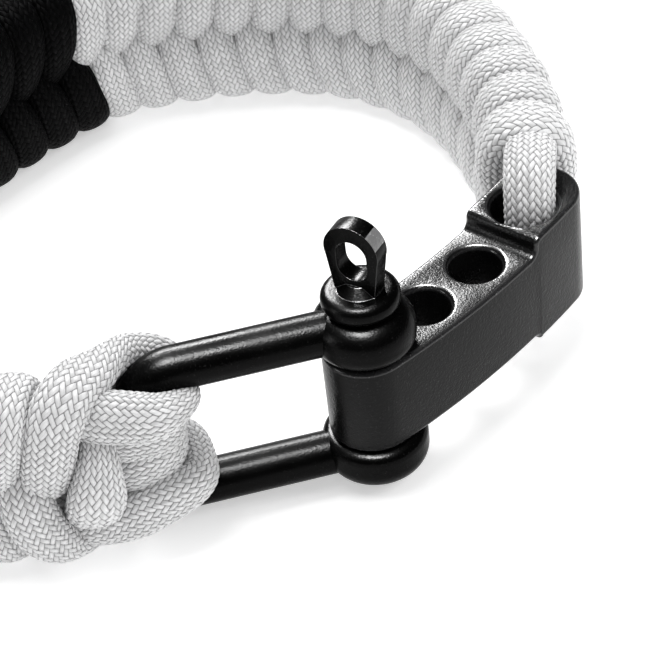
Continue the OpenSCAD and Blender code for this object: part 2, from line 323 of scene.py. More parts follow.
@dataclass(frozen=True)
class Section:
    """How a cord's section is drawn."""

    # Points round it
    around: int
    # 2 gives a round section, and more a squarer one
    power: float = 2.3
    # Height of the modelled braid, in metres
    relief: float = 0.0

    def outline(self, phi: np.ndarray) -> tuple:
        """The section's two coordinates at angles, each from -1 to 1."""
        c, s = np.cos(phi), np.sin(phi)
        return np.sign(c) * np.abs(c) ** (2 / self.power), np.sign(s) * np.abs(s) ** (2 / self.power)

    def turns(self, half_w: float, half_t: float) -> np.ndarray:
        """Finds the angles that space the points evenly round a section.

        Args:
            half_w: its half width.
            half_t: its half thickness.

        Returns:
            One angle for each point.
        """
        phi = np.linspace(0, 2 * np.pi, TURN_STEPS)
        x, y = self.outline(phi)
        travel = np.concatenate([[0], np.cumsum(np.hypot(np.diff(half_w * x), np.diff(half_t * y)))])
        return np.interp(np.arange(self.around) / self.around * travel[-1], travel, phi)


RING_FINE = Section(72, relief=RELIEF)
RING_PLAIN = Section(20)
CORE_PLAIN = Section(14)
KNOT_FINE = Section(96, 2.2, RELIEF)
END_FINE = Section(96, 2.15, RELIEF)


@dataclass(frozen=True)
class Cord:
    """A swept cord, in metres."""

    # Middle line, and the directions that the cord's flat face looks in
    centres: np.ndarray
    outward: np.ndarray
    half_w: np.ndarray
    half_t: np.ndarray
    section: Section
    # Where the braid starts, in millimetres
    start: float = 0.0

    def skin(self, braid: Braid) -> tuple:
        """Lays points round the cord.

        Args:
            braid: pattern of its relief.

        Returns:
            Points by place along the cord and place round it, and millimetres along the braid.
        """
        rows, section = len(self.centres), self.section
        half_w, half_t = (np.broadcast_to(half, rows)[:, None] for half in (self.half_w, self.half_t))
        ahead = unit(np.gradient(self.centres, axis=0))
        outward = unit(self.outward - ahead * np.sum(self.outward * ahead, axis=1, keepdims=True))
        side, outward = np.cross(outward, ahead)[:, None], outward[:, None]
        phi = section.turns(float(half_w.mean()), float(half_t.mean()))
        x, y = section.outline(phi)
        points = self.centres[:, None] + side * (half_w * x)[..., None] + outward * (half_t * y)[..., None]
        u = self.start + travelled(self.centres) / MM
        if section.relief:
            away = side * (half_t * np.cos(phi))[..., None] + outward * (half_w * np.sin(phi))[..., None]
            away /= np.linalg.norm(away, axis=2, keepdims=True)
            height = braid.height(u[:, None], np.arange(section.around) / section.around)
            points = points + away * (section.relief * (height - RELIEF_LEVEL))[..., None]
        return points, u


class Strands:
    """Collects swept cords and turns them into one mesh."""

    def __init__(self, name: str) -> None:
        """Starts an empty bundle with the name of its object."""
        self.name, self.count = name, 0
        self.verts, self.quads, self.quad_uvs, self.tris, self.tri_uvs = [], [], [], [], []

    def add(self, cord: Cord) -> None:
        """Adds a cord with closed ends.

        Args:
            cord: the cord.
        """
        points, u = cord.skin(Braid())
        rows, around = points.shape[:2]
        self.verts += [points.reshape(-1, 3), cord.centres[[0, -1]]]
        i, j = np.meshgrid(np.arange(rows - 1), np.arange(around), indexing="ij")
        k = (j + 1) % around
        corners = (i * around + j, i * around + k, (i + 1) * around + k, (i + 1) * around + j)
        self.quads.append(np.stack(corners, -1).reshape(-1, 4) + self.count)
        here, there = j / around, (j + 1) / around
        pairs = ((u[i], here), (u[i], there), (u[i + 1], there), (u[i + 1], here))
        self.quad_uvs.append(np.stack([np.stack(pair, -1) for pair in pairs], -2).reshape(-1, 2))
        middle, last = self.count + rows * around, self.count + (rows - 1) * around
        j, k, here = j[0], k[0], here[0]
        self.tris.append(np.stack([np.full(around, middle), self.count + k, self.count + j], -1))
        self.tris.append(np.stack([np.full(around, middle + 1), last + j, last + k], -1))
        for end in (u[0], u[-1]):
            self.tri_uvs.append(np.repeat(np.stack([np.full(around, end), here], -1), 3, axis=0))
        self.count += rows * around + 2

    def make(self, material: bpy.types.Material) -> bpy.types.Object:
        """Builds the mesh.

        Args:
            material: what all its cords are made of.

        Returns:
            The new object, at the origin, with the braid's own UV map.
        """
        verts, quads, tris = np.vstack(self.verts), np.vstack(self.quads), np.vstack(self.tris)
        loops = np.concatenate([quads.ravel(), tris.ravel()])
        sizes = np.concatenate([np.full(len(quads), 4), np.full(len(tris), 3)])
        mesh = bpy.data.meshes.new(self.name)
        mesh.vertices.add(len(verts))
        mesh.vertices.foreach_set("co", verts.astype(np.float32).ravel())
        mesh.loops.add(len(loops))
        mesh.loops.foreach_set("vertex_index", loops.astype(np.int32))
        mesh.polygons.add(len(sizes))
        mesh.polygons.foreach_set("loop_start", (np.cumsum(sizes) - sizes).astype(np.int32))
        mesh.polygons.foreach_set("use_smooth", np.ones(len(sizes), bool))
        uv = mesh.uv_layers.new(name="braid")
        uv.data.foreach_set("uv", np.vstack(self.quad_uvs + self.tri_uvs).astype(np.float32).ravel())
        mesh.update(calc_edges=True)
        mesh.validate()
        mesh.materials.append(material)
        piece = bpy.data.objects.new(self.name, mesh)
        bpy.context.scene.collection.objects.link(piece)
        return piece


class Tree:
    """Shorthand for wiring shader nodes."""

    def __init__(self, tree: bpy.types.NodeTree) -> None:
        """Holds a node tree."""
        self.tree = tree

    def fill(self, inputs: bpy.types.NodeInputs, given: dict) -> None:
        """Fills a node's inputs.

        Args:
            inputs: the node's inputs.
            given: an output to link, a number or a tuple, by the input's number or name.
        """
        for key, value in given.items():
            if isinstance(value, bpy.types.NodeSocket):
                self.tree.links.new(value, inputs[key])
            else:
                inputs[key].default_value = value

    def node(self, kind: str, given: dict, **settings: object) -> bpy.types.NodeOutputs:
        """Adds a node.

        Args:
            kind: its type.
            given: what fills its inputs.
            settings: its options by name.

        Returns:
            Its outputs.
        """
        made = self.tree.nodes.new(kind)
        for key, value in settings.items():
            setattr(made, key, value)
        self.fill(made.inputs, given)
        return made.outputs

    def math(self, operation: str, *values: object) -> bpy.types.NodeSocket:
        """Works out an operation on one to three values."""
        return self.node("ShaderNodeMath", dict(enumerate(values)), operation=operation)[0]

    def mix(self, share: object, a: object, b: object, blend: Blend = Blend.COLOUR) -> bpy.types.NodeSocket:
        """Mixes two values, with the share of the second from 0 to 1."""
        kind, first, second, result = blend.value
        return self.node("ShaderNodeMix", {0: share, first: a, second: b}, data_type=kind)[result]

    def ramp(self, value: object, low: float, high: float,
             to_low: float = 0.0, to_high: float = 1.0) -> bpy.types.NodeSocket:
        """Maps the range from low to high onto another, and keeps the result within that."""
        return self.node("ShaderNodeMapRange", dict(enumerate((value, low, high, to_low, to_high))))[0]

    def noise(self, vector: object, scale: float, detail: float) -> bpy.types.NodeSocket:
        """Value of a noise texture."""
        return self.node("ShaderNodeTexNoise", {"Vector": vector, "Scale": scale, "Detail": detail})["Fac"]

    def join(self, *values: object) -> bpy.types.NodeSocket:
        """Joins three values into a vector."""
        return self.node("ShaderNodeCombineXYZ", dict(enumerate(values)))[0]

    def split(self, vector: object) -> tuple:
        """Splits a vector into its three values."""
        return tuple(self.node("ShaderNodeSeparateXYZ", {0: vector}))

    def bump(self, height: object, strength: float, depth: float) -> bpy.types.NodeSocket:
        """Normal of a relief that stands depth metres high where it is 1."""
        return self.node("ShaderNodeBump", {"Strength": strength, "Distance": depth, "Height": height})[0]


def new_group(name: str, outputs: tuple) -> tuple:
    """Starts a shader node group that is given a vector and puts out numbers.

    Args:
        name: the group's name.
        outputs: names of its outputs.

    Returns:
        The group, its Tree, its vector and its output node's inputs.
    """
    group = bpy.data.node_groups.new(name, "ShaderNodeTree")
    group.interface.new_socket(name="Vector", in_out="INPUT", socket_type="NodeSocketVector")
    for label in outputs:
        group.interface.new_socket(name=label, in_out="OUTPUT", socket_type="NodeSocketFloat")
    tree = Tree(group)
    return group, tree, tree.node("NodeGroupInput", {})["Vector"], group.nodes.new("NodeGroupOutput").inputs


def new_material(name: str) -> tuple:
    """Starts a material.

    Args:
        name: the material's name.

    Returns:
        The material, its Tree and its shader's inputs.
    """
    material = bpy.data.materials.new(name)
    material.use_nodes = True
    return material, Tree(material.node_tree), material.node_tree.nodes["Principled BSDF"].inputs


def braid_group(braid: Braid) -> bpy.types.NodeTree:
    """Builds the pattern of a braided sheath from a cord's own UV map.

    Args:
        braid: sizes of the pattern.

    Returns:
        A group with height, gap shade, tone and filament outputs; the gap shade is the mask for the painted
        shade in the gaps between picks.
    """
    group, t, given, out = new_group("braided_sheath", ("Height", "Gap", "Tone", "Filament"))
    place = t.split(given)
    u = t.math("DIVIDE", place[0], braid.pitch)
    v = t.math("MULTIPLY", place[1], float(braid.carriers))
    a, b = t.math("ADD", u, v), t.math("SUBTRACT", u, v)
    nearest, best = None, None
    for first, second, shift in ((a, b, 0.0), (b, a, braid.shift)):
        row = t.math("FLOOR", first)
        across = t.math("MULTIPLY", t.math("SUBTRACT", t.math("SUBTRACT", first, row), 0.5), 2.0)
        along = t.math("SUBTRACT", t.math("SUBTRACT", second, row), shift)
        along = t.math("WRAP", along, braid.half_repeat, -braid.half_repeat)
        far = t.math("MAXIMUM", t.math("ABSOLUTE", across), t.math("ABSOLUTE", along))
        number = t.math("MULTIPLY_ADD", row, braid.row_step, t.math("SUBTRACT", second, along))
        pick = t.join(across, along, number)
        if nearest is None:
            nearest, best = far, pick
        else:
            best = t.mix(t.math("LESS_THAN", far, nearest), best, pick, Blend.VECTOR)
    across, along, number = t.split(best)
    across_2, along_2 = t.math("MULTIPLY", across, across), t.math("MULTIPLY", along, along)
    corner = t.math("ADD", t.math("POWER", across_2, 3.0), t.math("POWER", along_2, 3.0))
    edge = t.ramp(corner, braid.corner, 1.0)
    tip = t.math("MULTIPLY", along_2, braid.tip)
    drop = t.math("MULTIPLY_ADD", t.math("MULTIPLY", across_2, across_2), braid.side, tip)
    crown = t.math("SUBTRACT", t.math("SUBTRACT", 1.0, drop), t.math("MULTIPLY", edge, braid.groove))
    seed = t.math("ROUND", t.math("MULTIPLY", number, braid.number_scale))
    tone = t.node("ShaderNodeTexWhiteNoise", {"W": seed}, noise_dimensions="1D")["Value"]
    lines = t.join(t.math("MULTIPLY", across, braid.filament_across),
                   t.math("MULTIPLY", along, braid.filament_along),
                   t.math("MULTIPLY", tone, braid.filament_shift))
    # The gap output masks the painted shade between picks, and also sets where the groove lowers a crown
    t.fill(out, {"Height": t.math("MAXIMUM", crown, 0.0), "Gap": edge, "Tone": tone,
                 "Filament": t.noise(lines, 1.0, 1.0)})
    return group


@dataclass(frozen=True)
class Grain:
    """The fine grain of a sprayed coat: relief, bright specks and cloudy patches."""

    # Scale and detail of each noise
    fine: tuple = (5200.0, 1.5)
    coarse: tuple = (1900.0, 2.0)
    cloud: tuple = (180.0, 3.0)
    # Share of the fine noise in the relief, and the values of it between which specks appear
    fine_share: float = 0.6
    speck_from: float = 0.66
    speck_to: float = 0.76

    def make(self) -> bpy.types.NodeTree:
        """Builds the pattern from Object coordinates.

        Returns:
            A group with height, speck and cloud outputs.
        """
        group, t, where, out = new_group("coat_grain", ("Height", "Speck", "Cloud"))
        fine, coarse = t.noise(where, *self.fine), t.noise(where, *self.coarse)
        relief = t.math("ADD", t.math("MULTIPLY", fine, self.fine_share),
                        t.math("MULTIPLY", coarse, 1 - self.fine_share))
        cloud = t.ramp(t.noise(where, *self.cloud), NOISE_LOW, NOISE_HIGH)
        t.fill(out, {"Height": relief, "Speck": t.ramp(fine, self.speck_from, self.speck_to), "Cloud": cloud})
        return group


@dataclass(frozen=True)
class CordFinish:
    """Braided nylon: silky yarns, with shade painted into the colour of the gaps between them."""

    name: str
    yarn: tuple
    # Colour of the painted shade in the gaps between picks
    gap_shade: tuple
    # How far the yarns' tones spread to either side, as a share
    spread: float
    roughness: float
    sheen: float = 0.25
    gloss: float = 0.5
    # Share of the filaments in a yarn's tone, the rest being the pick's own
    filament_tone: float = 0.6
    # How far the filaments smooth and roughen a yarn, and how high they stand on a pick
    smoother: float = 0.1
    rougher: float = 0.12
    filament_height: float = 0.16
    sheen_roughness: float = 0.4
    # Height of a pick, in millimetres
    depth: float = 0.2

    def make(self, group: bpy.types.NodeTree) -> bpy.types.Material:
        """Builds the material.

        Args:
            group: the braid's pattern.

        Returns:
            The material.
        """
        material, t, shader = new_material(self.name)
        place = t.node("ShaderNodeUVMap", {}, uv_map="braid")[0]
        height, gap_shade, tone, filament = t.node("ShaderNodeGroup", {"Vector": place}, node_tree=group)
        pale = tuple(min(1.0, x * (1 + self.spread)) for x in self.yarn) + (1.0,)
        deep = tuple(x * (1 - self.spread) for x in self.yarn) + (1.0,)
        tone = t.math("MULTIPLY", tone, 1 - self.filament_tone)
        tone = t.math("MULTIPLY_ADD", filament, self.filament_tone, tone)
        relief = t.math("MULTIPLY_ADD", filament, self.filament_height, height)
        t.fill(shader, {
            # The gaps between picks take the gap colour, which is painted shade
            "Base Color": t.mix(gap_shade, t.mix(tone, deep, pale), self.gap_shade + (1.0,)),
            "Roughness": t.ramp(filament, NOISE_LOW, NOISE_HIGH, self.roughness - self.smoother,
                                self.roughness + self.rougher),
            "Sheen Weight": self.sheen,
            "Sheen Roughness": self.sheen_roughness,
            "Specular IOR Level": self.gloss,
            "Normal": t.bump(relief, 1.0, self.depth * MM),
        })
        return material


@dataclass(frozen=True)
class CoatFinish:
    """Black satin coat on metal, with a fine grain."""

    name: str
    colour: tuple = (0.003, 0.003, 0.0031)
    roughness: float = 0.27
    grain: float = 0.7
    # How much brighter the specks are
    speck: float = 0.02
    gloss: float = 0.1
    # Height of the grain, in millimetres
    depth: float = 0.08
    # How far the cloudy patches smooth and roughen the coat
    smoother: float = 0.04
    rougher: float = 0.06

    def make(self, group: bpy.types.NodeTree) -> bpy.types.Material:
        """Builds the material.

        Args:
            group: the grain's pattern.

        Returns:
            The material.
        """
        material, t, shader = new_material(self.name)
        place = t.node("ShaderNodeTexCoord", {})["Object"]
        height, speck, cloud = t.node("ShaderNodeGroup", {"Vector": place}, node_tree=group)
        bright = tuple(min(1.0, x + self.speck) for x in self.colour) + (1.0,)
        t.fill(shader, {
            "Base Color": t.mix(speck, self.colour + (1.0,), bright),
            "Roughness": t.ramp(cloud, 0.0, 1.0, self.roughness - self.smoother,
                                self.roughness + self.rougher),
            "Specular IOR Level": self.gloss,
            "Normal": t.bump(height, self.grain, self.depth * MM),
        })
        return material


class Finishes:
    """Every material of the bracelet, built once."""

    def __init__(self) -> None:
        """Builds the materials."""
        sheath, grain = braid_group(Braid()), Grain().make()
        # Each cord's third colour is the painted shade in the gaps between its picks
        white = CordFinish("white_cord", (0.76, 0.76, 0.765), (0.3, 0.3, 0.305), spread=0.17, roughness=0.32)
        black = CordFinish("black_cord", (0.0016, 0.0016, 0.0018), (0.0004, 0.0004, 0.0004), spread=0.3,
                           roughness=0.6, sheen=0.0, gloss=0.06)
        self.cords = {Shade.WHITE: white.make(sheath), Shade.BLACK: black.make(sheath)}
        self.coat = CoatFinish("black_coat").make(grain)
        self.deep = CoatFinish("deep_black_coat", (0.001, 0.001, 0.001), roughness=0.25, grain=0.5,
                               speck=0.01, gloss=0.05, depth=0.06).make(grain)
        # Softened edges: lighter and glossier, partly as edge wear and partly as a painted highlight along
        # the rims
        self.worn_and_highlit = CoatFinish("worn_edge_painted_highlight", (0.012, 0.012, 0.0125), roughness=0.24, grain=0.4,
                               speck=0.06, gloss=0.35).make(grain)
        self.rubbed = CoatFinish("rubbed_coat", (0.1, 0.1, 0.101), roughness=0.4, grain=1.0,
                                 speck=0.3, gloss=0.8, depth=0.16).make(grain)


@dataclass(frozen=True)
class Weave:
    """The band: rings wound round two cores, in figures of eight. Sizes are in millimetres."""

    half_w: float = 2.4
    half_t: float = 1.65
    # Rings at the band's two ends whose braid is modelled
    fine_first: int = 3
    fine_last: int = 3
    # Points along a ring with and without a modelled braid
    points_fine: int = 160
    points_plain: int = 44
    # Middle line of a ring from the outer furrow over the edge to the inner one.
    # Columns: outward, up, share of full width.
    ring: tuple = (
        (0.6, -0.9, 0.70), (1.8, 0.6, 0.82), (2.6, 2.5, 0.96), (2.8, 4.6, 1.0), (2.45, 6.8, 1.0),
        (1.1, 8.1, 1.0), (-1.1, 8.1, 1.0), (-2.45, 6.8, 1.0), (-2.8, 4.6, 1.0), (-2.6, 2.5, 0.96),
        (-1.8, 0.6, 0.82), (-0.6, -0.9, 0.70),
    )
    # Place of a ring after its own start, in spacings, on the upper and the lower edge
    upper_at: float = 0.88
    lower_at: float = 1.36
    # The last lower ring's distance from the band's end
    lower_end: float = 0.6
    # The last upper ring is fuller, and its middle line grows by a share of that
    last_grow: float = 1.22
    last_spread: float = 0.15
    # The last upper rings sit this much further from the band's end, the last one first
    last_back: tuple = (0.5, 1.0, 0.6)
    # Over how many rings the winding fades out at the band's end
    fade: int = 3
    # How far the braid has moved on, for each millimetre between two rings
    braid_step: float = 7.3
    # Core cords: half width, half thickness, distance between points, and gaps at a length's ends
    core_w: float = 1.9
    core_t: float = 2.6
    core_step: float = 2.0
    core_from: float = 0.2
    core_to: float = 0.6

    def ring_strand(self, bundle: Strands, s: float, edge: int, fine: bool, grow: float) -> None:
        """Adds one ring to a bundle.

        Args:
            bundle: the strands that it joins.
            s: where it starts, along the band.
            edge: 1 for the upper edge, -1 for the lower.
            fine: whether the braid's relief is modelled.
            grow: how much fuller it is than the other rings.
        """
        curve = spline(np.array(self.ring), self.points_fine if fine else self.points_plain)
        curve[:, :2] *= 1 + self.last_spread * (grow - 1)
        share = np.linspace(0, 1, len(curve))
        ramp = np.clip((LOOP.end - s) / (self.fade * LOOP.pitch), 0, 1)
        where = s - LOOP.wind * ramp * share
        centres = LOOP.place(where, curve[:, 0], edge * curve[:, 1])
        core = LOOP.place(where, 0 * share, edge * np.full(len(share), LOOP.core_up))
        width = self.half_w * grow * curve[:, 2] * MM
        bundle.add(Cord(centres, centres - core, width, self.half_t * grow * MM,
                        RING_FINE if fine else RING_PLAIN, s * self.braid_step))

    def places(self) -> list:
        """Lists where the rings sit.

        Returns:
            Distance along the band, edge and number of each ring.
        """
        first, pitch, rings = LOOP.band_from, LOOP.pitch, LOOP.rings
        plain = range(1, rings - len(self.last_back))
        upper = [(first + (k + self.upper_at) * pitch, 1, k) for k in plain]
        for k, back in zip(range(rings - 1, 0, -1), self.last_back):
            upper.append((first + (k + self.upper_at) * pitch - back, 1, k))
        lower = [(first + (k + self.lower_at) * pitch, -1, k) for k in range(1, rings - 1)]
        return upper + lower + [(LOOP.end - self.lower_end, -1, rings - 1)]

    def cores(self, bundle: Strands, first: float, last: float) -> None:
        """Adds a stretch of the two core cords.

        Args:
            bundle: the strands that they join.
            first: where they start, along the band.
            last: where they end.
        """
        s = np.linspace(first, last, max(2, int((last - first) / self.core_step)))
        for up in (LOOP.core_up, -LOOP.core_up):
            centres = LOOP.place(s, 0 * s, np.full(len(s), up))
            beside = LOOP.place(s, 0 * s + 1, np.full(len(s), up))
            bundle.add(Cord(centres, beside - centres, self.core_w * MM, self.core_t * MM, CORE_PLAIN))

    def make(self, finishes: Finishes) -> list:
        """Builds the three lengths of the band.

        Args:
            finishes: the materials.

        Returns:
            The three pieces.
        """
        dark = (round(LOOP.rings * LOOP.dark_from), round(LOOP.rings * LOOP.dark_to))
        spans = {
            "woven_band_near": (0, dark[0], Shade.WHITE, "white_band_near"),
            "woven_band_black": (dark[0], dark[1], Shade.BLACK, "black_band"),
            "woven_band_far": (dark[1], LOOP.rings, Shade.WHITE, "white_band_far"),
        }
        made = []
        for name, (first, stop, shade, node) in spans.items():
            bundle = Strands(name)
            for s, edge, k in self.places():
                if first <= k < stop:
                    fine = k < self.fine_first or k >= LOOP.rings - self.fine_last
                    last = edge == 1 and k == LOOP.rings - 1
                    self.ring_strand(bundle, s, edge, fine, self.last_grow if last else 1.0)
            self.cores(bundle, LOOP.band_from + first * LOOP.pitch + self.core_from,
                       LOOP.band_from + stop * LOOP.pitch - self.core_to)
            piece = bundle.make(finishes.cords[shade])
            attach(piece, "bracelet")
            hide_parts(node)
            made.append(piece)
        return made


@dataclass(frozen=True)
class BowKnot:
    """The cords round the shackle's bow, at the start of the weave, in millimetres.

    Each table's columns: back from the bow's upright bar, outward, up, half width, half thickness.
    """

    upper: tuple = (
        (6.0, 0.6, 5.4, 2.2, 1.7), (3.7, 2.2, 5.6, 2.5, 1.8), (1.6, 3.2, 5.7, 2.5, 1.8),
        (-0.9, 3.8, 5.5, 2.25, 1.8), (-2.9, 3.2, 5.35, 1.6, 1.7), (-4.1, 1.8, 5.1, 1.15, 1.6),
        (-4.1, -0.4, 4.9, 1.15, 1.6), (-3.9, -2.5, 4.7, 1.6, 1.7), (-3.4, -3.7, 5.0, 2.2, 1.8),
        (-2.3, -3.9, 5.9, 2.3, 1.7), (-0.3, -3.3, 6.9, 2.4, 1.7), (2.1, -1.7, 7.9, 2.7, 1.7),
        (4.3, 0.3, 8.3, 2.6, 1.8), (6.1, 2.0, 7.9, 2.6, 1.8), (7.6, 3.1, 6.0, 2.55, 1.8),
        (8.6, 3.4, 2.7, 2.45, 1.8), (9.1, 2.6, -0.2, 2.2, 1.7), (8.6, 0.9, -1.6, 1.9, 1.5),
    )
    lower: tuple = (
        (7.6, 1.2, -6.6, 2.2, 1.7), (5.3, 3.2, -6.3, 2.3, 1.8), (2.1, 4.2, -5.2, 2.4, 1.8),
        (-0.8, 4.2, -4.3, 2.35, 1.8), (-3.1, 3.6, -3.9, 2.0, 1.8), (-4.4, 2.3, -3.9, 1.8, 1.7),
        (-4.6, 0.0, -4.0, 1.8, 1.7), (-4.2, -2.4, -4.1, 2.0, 1.8), (-3.0, -3.9, -4.8, 2.3, 1.8),
        (-0.4, -4.3, -6.4, 2.3, 1.8), (2.6, -3.0, -7.5, 2.4, 1.8), (4.6, -0.6, -7.9, 2.4, 1.8),
        (6.6, 1.8, -7.9, 2.4, 1.8), (8.8, 3.4, -7.2, 2.4, 1.8), (10.4, 4.0, -4.8, 2.5, 1.8),
        (11.2, 3.6, -1.9, 2.5, 1.8), (11.3, 2.4, 0.4, 2.2, 1.6), (10.6, 0.6, 1.6, 1.8, 1.5),
    )
    front: tuple = (
        (6.4, 0.8, -5.2, 2.0, 1.6), (5.9, 2.8, -4.4, 2.4, 1.8), (5.4, 4.3, -2.9, 2.6, 1.9),
        (5.0, 4.9, -1.0, 2.6, 1.9), (4.5, 4.3, 1.1, 2.1, 1.8), (4.0, 3.0, 2.8, 1.7, 1.6),
        (3.8, 1.4, 4.0, 1.5, 1.5),
    )
    middle: tuple = (
        (4.4, 1.4, 2.4, 1.7, 1.5), (2.4, 2.6, 2.4, 1.8, 1.5), (0.2, 2.9, 2.2, 1.9, 1.4),
        (-1.8, 2.4, 1.7, 1.9, 1.2), (-2.9, 0.9, 1.2, 1.9, 1.0), (-3.1, -0.9, 0.9, 1.9, 1.0),
        (-2.4, -2.6, 0.8, 1.9, 1.2), (0.4, -3.5, 1.2, 1.9, 1.5), (4.0, -1.6, 2.0, 1.9, 1.7),
    )
    inner: tuple = (
        (4.6, 1.0, -1.4, 1.8, 1.6), (2.6, 2.4, -1.2, 2.0, 1.6), (0.6, 3.0, -0.9, 2.1, 1.5),
        (-1.6, 2.5, -0.7, 2.1, 1.3), (-2.9, 1.0, -0.8, 2.0, 1.0), (-3.1, -0.9, -1.0, 2.0, 1.0),
        (-2.4, -2.6, -1.2, 2.0, 1.2), (0.4, -3.5, -1.4, 1.9, 1.5), (4.0, -1.6, -2.0, 1.9, 1.7),
    )
    tuck: tuple = (
        (6.5, -1.2, 4.6, 2.1, 1.6), (4.2, -1.2, 5.1, 2.1, 1.5), (2.4, -1.8, 4.9, 2.0, 1.3),
        (1.2, -2.9, 3.6, 1.9, 1.3), (0.6, -3.6, 1.8, 1.9, 1.3),
    )
    # Distance between two points along a cord
    step: float = 0.125
    # A cord's flat face turns away from the bow's upright bar, and within this distance back from it
    # goes over to turning away from the cores
    blend: float = 4.5
    # Height on the upright bar that it turns away from, as a share of its own and at most
    bow_share: float = 0.9
    bow_up: float = 6.4
    # The same on the cores, which lie a little inward here
    core_share: float = 0.85
    core_out: float = -0.3
    # How far the braid has moved on from cord to cord and from piece to piece
    cord_shift: float = 11.0
    piece_shift: float = 3.0

    def cord(self, bundle: Strands, table: tuple, start: float) -> None:
        """Adds one cord of the knot to a bundle.

        Args:
            bundle: the strands that it joins.
            table: its route and half sizes.
            start: where its braid starts.
        """
        rows = np.array(table)
        curve = spline(rows, int(travelled(rows[:, :3])[-1] / self.step))
        back, up = curve[:, 0], curve[:, 2]
        share = np.clip(back / self.blend, 0, 1)[:, None]
        share = share * share * (3 - 2 * share)
        on_bow = np.clip(self.bow_share * up, -self.bow_up, self.bow_up)
        on_core = np.clip(self.core_share * up, -LOOP.core_up, LOOP.core_up)
        bow = np.column_stack([0 * back, 0 * back, on_bow])
        core = np.column_stack([back, self.core_out + 0 * back, on_core])
        middle = LOOP.at_bow((1 - share) * bow + share * core)
        centres = LOOP.at_bow(curve)
        bundle.add(Cord(centres, centres - middle, curve[:, 3] * MM, curve[:, 4] * MM, KNOT_FINE, start))

    def make(self, finishes: Finishes) -> list:
        """Builds the knot's cords.

        Args:
            finishes: the materials.

        Returns:
            The three pieces.
        """
        bundles = {
            "bow_knot_upper_cord": (self.upper,),
            "bow_knot_lower_cord": (self.lower,),
            "bow_knot_inner_cords": (self.front, self.middle, self.inner, self.tuck),
        }
        made = []
        for name, tables in bundles.items():
            bundle = Strands(name)
            for number, table in enumerate(tables):
                self.cord(bundle, table, self.cord_shift * number + self.piece_shift * len(made))
            piece = bundle.make(finishes.cords[Shade.WHITE])
            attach(piece, "bracelet")
            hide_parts("bow_knot")
            made.append(piece)
        return made


@dataclass(frozen=True)
class EndCord:
    """The cord through the bar: over the block, down the cord hole and back below, in millimetres."""

    # Columns: distance from the band's end, height from the middle, half width, half thickness
    rows: tuple = (
        (-4.0, 6.2, 2.2, 1.8), (-2.0, 6.7, 2.3, 1.8), (0.1, 7.0, 2.4, 1.8), (1.9, 8.15, 2.45, 1.75),
        (3.9, 8.55, 2.45, 1.75), (6.2, 8.05, 2.45, 1.75), (7.7, 6.35, 2.4, 1.75), (8.2, 4.0, 2.4, 1.8),
        (8.2, 0.0, 2.3, 2.2), (8.2, -3.0, 2.4, 1.8), (7.8, -5.8, 2.4, 1.75), (6.5, -7.05, 2.4, 1.7),
        (4.2, -7.3, 2.4, 1.7), (1.9, -7.15, 2.4, 1.7), (0.1, -6.4, 2.3, 1.8), (-2.0, -5.6, 2.3, 1.8),
        (-4.0, -5.2, 2.2, 1.8),
    )
    # How far it lies to one side of the hole's middle
    beside: float = 0.6
    # Distance between two points along it, and where its braid starts
    step: float = 0.13
    start: float = 3.0

    def make(self, finishes: Finishes) -> bpy.types.Object:
        """Builds the cord.

        Args:
            finishes: the materials.

        Returns:
            The piece.
        """
        rows = np.array(self.rows)
        flat = np.column_stack([rows[:, 0], 0 * rows[:, 0], rows[:, 1:]])
        curve = spline(flat, int(travelled(flat[:, :3])[-1] / self.step))
        ahead = -LOOP.heading(LOOP.lead_turn)
        plan = LOOP.stop + curve[:, :1] * ahead + self.beside * LOOP.heading(LOOP.lead_turn - 90)
        centres = np.column_stack([plan, LOOP.mid_z + curve[:, 2]]) * MM
        run = np.gradient(curve[:, [0, 2]], axis=0)
        outward = np.column_stack([-run[:, 1:] * ahead, run[:, :1]])
        bundle = Strands("end_cord_braid")
        bundle.add(Cord(centres, outward, curve[:, 3] * MM, curve[:, 4] * MM, END_FINE, self.start))
        piece = bundle.make(finishes.cords[Shade.WHITE])
        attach(piece, "bracelet")
        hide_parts("end_cord")
        return piece


